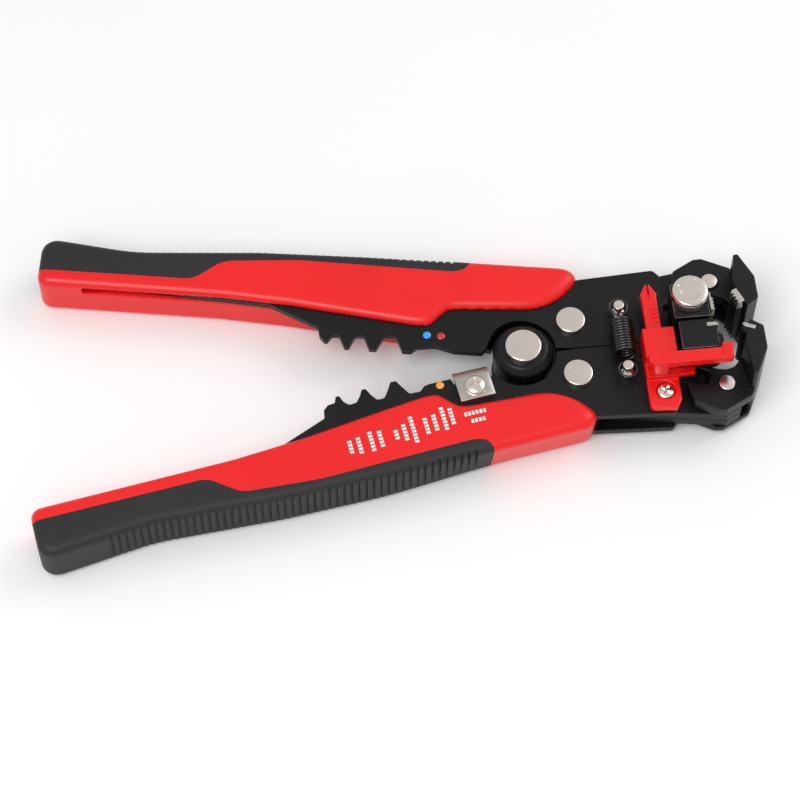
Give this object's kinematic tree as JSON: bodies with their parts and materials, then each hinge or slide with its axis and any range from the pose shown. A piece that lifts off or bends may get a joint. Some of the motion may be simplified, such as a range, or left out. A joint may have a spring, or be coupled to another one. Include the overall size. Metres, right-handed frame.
{
  "type": "wire stripper",
  "caption": "Self-adjusting wire stripper with two sprung handles, swinging gripper and cutter jaws, sliding wire stop, crimp teeth and a handle cutter.",
  "frame": {"origin": "on the main pivot axis, on the plane that the tool lies on (the rear head of the main rivet)", "axes": "+X from the main pivot towards the jaws, +Y towards the upper handle, +Z out of the front of the tool"},
  "size_m": [0.2007, 0.0982, 0.0279],
  "materials": {
    "red_plastic": "moulded satin",
    "black_overmould": "soft matt overmould",
    "black_steel": "black oxide over stamped steel",
    "nickel": "nickel plated",
    "tool_steel": "ground steel",
    "spring_steel": "blackened spring wire"
  },
  "bodies": {
    "lower_frame": {"lower_frame_front": "black_steel", "lower_frame_rear": "black_steel", "main_pivot_rivet": "nickel", "hub_disc_front": "black_steel", "hub_disc_rear": "black_steel", "lower_lever_rivet": "nickel", "cutter_jaw_rivet": "nickel", "inner_cutter_block": "black_steel", "inner_cutter_blade": "tool_steel", "lower_block_screws": "black_steel", "return_spring": "spring_steel"},
    "upper_frame": {"upper_frame_front": "black_steel", "upper_frame_rear": "black_steel", "upper_lever_rivet": "nickel", "gripper_jaw_rivet": "nickel", "inner_gripper_block": "black_steel", "upper_block_screws": "black_steel"},
    "upper_handle": {"upper_lever_front": "black_steel", "upper_lever_rear": "black_steel", "upper_grip": "red_plastic", "upper_grip_overmould": "black_overmould", "upper_spring_post": "nickel"},
    "lower_handle": {"lower_lever_front": "black_steel", "lower_lever_rear": "black_steel", "lower_grip": "red_plastic", "lower_grip_overmould": "black_overmould", "lower_spring_post": "nickel", "handle_cutter_blade": "tool_steel", "handle_cutter_screw": "nickel", "wire_stop_guide": "red_plastic", "wire_stop_screw": "nickel"},
    "gripper_jaw": {"outer_gripper_jaw": "black_steel", "outer_gripper_insert": "tool_steel"},
    "cutter_jaw": {"outer_cutter_jaw": "black_steel", "outer_cutter_blade": "tool_steel"},
    "tension_knob": {"tension_knob": "nickel"},
    "gripper_insert": {"inner_gripper_insert": "tool_steel"},
    "wire_stop": {"wire_stop_slide": "red_plastic"}
  },
  "joints": [
    {"name": "frame_spread", "type": "hinge", "parent": "lower_frame", "child": "upper_frame", "pos_m": [0, 0, 0.0075], "axis": [0, 0, 1], "range_deg": [0, 4.8], "stiffness_Nm_per_rad": 0.4, "deforming": ["return_spring"]},
    {"name": "upper_handle_pivot", "type": "hinge", "parent": "upper_frame", "child": "upper_handle", "pos_m": [0.0142, 0.0084, 0.0075], "axis": [0, 0, 1], "range_deg": [0, 5.6], "stiffness_Nm_per_rad": 0.4},
    {"name": "lower_handle_pivot", "type": "hinge", "parent": "lower_frame", "child": "lower_handle", "pos_m": [0.0142, -0.0084, 0.0075], "axis": [0, 0, -1], "range_deg": [0, 5.6], "stiffness_Nm_per_rad": 0.4},
    {"name": "gripper_jaw_swing", "type": "hinge", "parent": "upper_frame", "child": "gripper_jaw", "pos_m": [0.0539, 0.0162, 0.0075], "axis": [0, 0, -1], "range_deg": [0, 24]},
    {"name": "cutter_jaw_swing", "type": "hinge", "parent": "lower_frame", "child": "cutter_jaw", "pos_m": [0.0539, -0.0162, 0.0075], "axis": [0, 0, 1], "range_deg": [0, 24]},
    {"name": "knob_turn", "type": "hinge", "parent": "upper_frame", "child": "tension_knob", "pos_m": [0.046, 0.0063, 0.026], "axis": [0, 0, 1], "range_deg": [-60, 60]},
    {"name": "insert_slide", "type": "slide", "parent": "upper_frame", "child": "gripper_insert", "axis": [1, 0, 0], "range_m": [-0.00036, 0.00036]},
    {"name": "stop_slide", "type": "slide", "parent": "lower_handle", "child": "wire_stop", "axis": [0, -1, 0], "range_m": [0, 0.008]}
  ],
  "couplings": [
    {"joint": "gripper_jaw_swing", "follows": "upper_handle_pivot", "ratio": 4.2853},
    {"joint": "cutter_jaw_swing", "follows": "lower_handle_pivot", "ratio": 4.2853},
    {"joint": "insert_slide", "follows": "knob_turn", "m_per_rad": 0.0003308}
  ]
}
